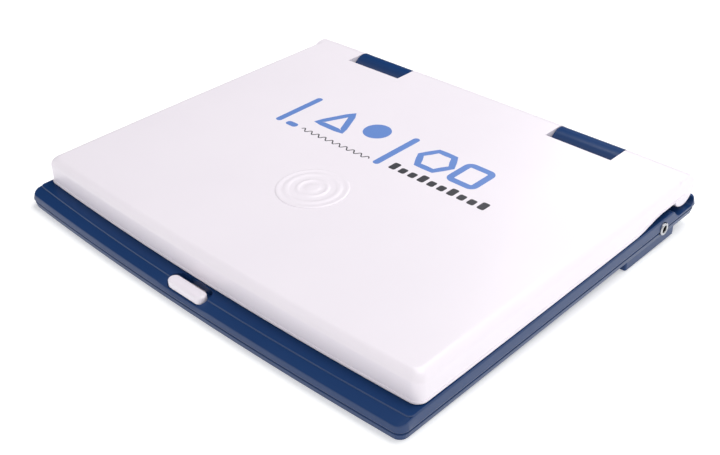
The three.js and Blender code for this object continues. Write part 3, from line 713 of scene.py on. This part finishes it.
# ---- raised ring emblem in front of the print ----
EMBLEM = (-0.5, -35.3)
profile = [
    (0, -0.6), (21.2, -0.6), (21.2, 0.0), (21.0, 0.22), (20.6, 0.36), (20.0, 0.42), (19.2, 0.36),
    (18.6, 0.2), (17.6, 0.14), (16.8, 0.2), (16.2, 0.42), (15.2, 0.5), (14.2, 0.42), (13.6, 0.2),
    (12.8, 0.12), (10.4, 0.14), (9.8, 0.3), (9.0, 0.55), (8.2, 0.58), (7.6, 0.36), (6.8, 0.16),
    (5.0, 0.16), (4.2, 0.42), (3.2, 0.56), (0, 0.64),
]
emblem = lathe("lid_emblem", profile, 96, (*EMBLEM, LID_TOP - crown(*EMBLEM)))
finish_piece(emblem, "lid", WHITE, 50)

# ---- jack ring ----
jack = [
    (2.25, -1.2), (2.25, 1.0), (2.45, 1.35), (2.85, 1.5), (3.3, 1.45), (3.65, 1.2), (JACK_R, 0.8),
    (JACK_R, -1.2), (2.25, -1.2),
]
collar = lathe("jack_ring", jack, 64, (JACK_X, JACK_Y, JACK_Z), "x")
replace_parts(finish_piece(collar, "base", CHROME, 50), "jack_collar")


# ---- key legends: plain letters ----
LEGEND_SIZE, LEGEND_THICK, LEGEND_LIFT = 0.0062, 0.00003, 0.00004


def legend(letter, key):
    low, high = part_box(key)
    curve = bpy.data.curves.new(f"legend_{letter}", "FONT")
    curve.body = letter.upper()
    curve.size = LEGEND_SIZE
    curve.extrude = LEGEND_THICK
    curve.align_x = "CENTER"
    curve.align_y = "CENTER"
    text = bpy.data.objects.new("letter", curve)
    scene.collection.objects.link(text)
    bpy.context.view_layer.update()
    depsgraph = bpy.context.evaluated_depsgraph_get()
    mesh = bpy.data.meshes.new_from_object(text.evaluated_get(depsgraph))
    bpy.data.objects.remove(text)
    obj = bpy.data.objects.new(f"legend_{letter}", mesh)
    scene.collection.objects.link(obj)
    middle = (low + high) / 2
    top = high.z - abs(math.sin(LEAN)) * (high.y - low.y) / 2
    place = Matrix.Translation(Vector((middle.x, middle.y, top + LEGEND_LIFT)))
    return finish_piece(
        obj, key, LEGEND, 30, place @ Matrix.Rotation(LEAN, 4, "X")
    )


for letters, _ in KEY_ROWS:
    for letter in letters:
        legend(letter, f"key_{letter}")

# ---- room: floor, light, camera ----
bpy.ops.mesh.primitive_plane_add(size=14, location=(0, 0, 0))
floor = bpy.context.object
floor.name = "floor"
TABLE = moulded("pale_floor", (0.80, 0.80, 0.80), 0.7, (0.79, 0.79, 0.792), bump=0.0)
glow = TABLE.node_tree.nodes["Principled BSDF"].inputs
glow["Emission Color"].default_value = (1, 1, 1, 1)
glow["Emission Strength"].default_value = 0.42
floor.data.materials.append(TABLE)

world = bpy.data.worlds.new("studio")
scene.world = world
world.use_nodes = True
sky = world.node_tree
backdrop = sky.nodes["Background"]
backdrop.inputs["Color"].default_value = (1.0, 1.0, 1.0, 1)
# White all round except for an unlit part of the room, high behind the left rear corner.
unlit = Vector((-0.585, 0.613, 0.531)).normalized()
direction = sky.nodes.new("ShaderNodeTexCoord").outputs["Generated"]
toward = sky.nodes.new("ShaderNodeVectorMath")
toward.operation = "DOT_PRODUCT"
toward.inputs[1].default_value = unlit
sky.links.new(direction, toward.inputs[0])
shade = map_range(sky, toward.outputs["Value"], (0.35, 0.75), (0.95, 0.04), smooth_ends=True)
# The ceiling is dimmer than the walls.
height = sky.nodes.new("ShaderNodeSeparateXYZ")
sky.links.new(direction, height.inputs[0])
ceiling = map_range(sky, height.outputs["Z"], (0.3, 0.8), (1.0, 0.6), smooth_ends=True)
both = sky.nodes.new("ShaderNodeMath")
both.operation = "MULTIPLY"
sky.links.new(shade, both.inputs[0])
sky.links.new(ceiling, both.inputs[1])
sky.links.new(both.outputs["Value"], backdrop.inputs["Strength"])


def softbox(name, place, size, power):
    """Rectangular lamp that points at the middle of the table."""
    light = bpy.data.lights.new(name, "AREA")
    light.shape = "RECTANGLE"
    light.size, light.size_y = size
    light.energy = power
    obj = bpy.data.objects.new(name, light)
    obj.location = place
    obj.rotation_mode = "QUATERNION"
    obj.rotation_quaternion = (-Vector(place)).to_track_quat("-Z", "Y")
    scene.collection.objects.link(obj)


softbox("top_box", (0.1, 0.3, 1.3), (1.2, 0.8), 11)
softbox("rear_box", (0.0, 1.2, 1.0), (1.4, 0.8), 8)

camera = bpy.data.cameras.new("camera")
camera.sensor_width = 36
camera.lens = 52.6
eye = bpy.data.objects.new("camera", camera)
eye.location = (0.372, -0.3861, 0.32735)
azimuth, elevation = math.radians(43.68), math.radians(32.08)
level = math.cos(elevation)
back = Vector((math.sin(azimuth) * level, -math.cos(azimuth) * level, math.sin(elevation)))
eye.rotation_mode = "QUATERNION"
eye.rotation_quaternion = (-back).to_track_quat("-Z", "Y")
scene.collection.objects.link(eye)
scene.camera = eye
scene.view_settings.view_transform = "Standard"
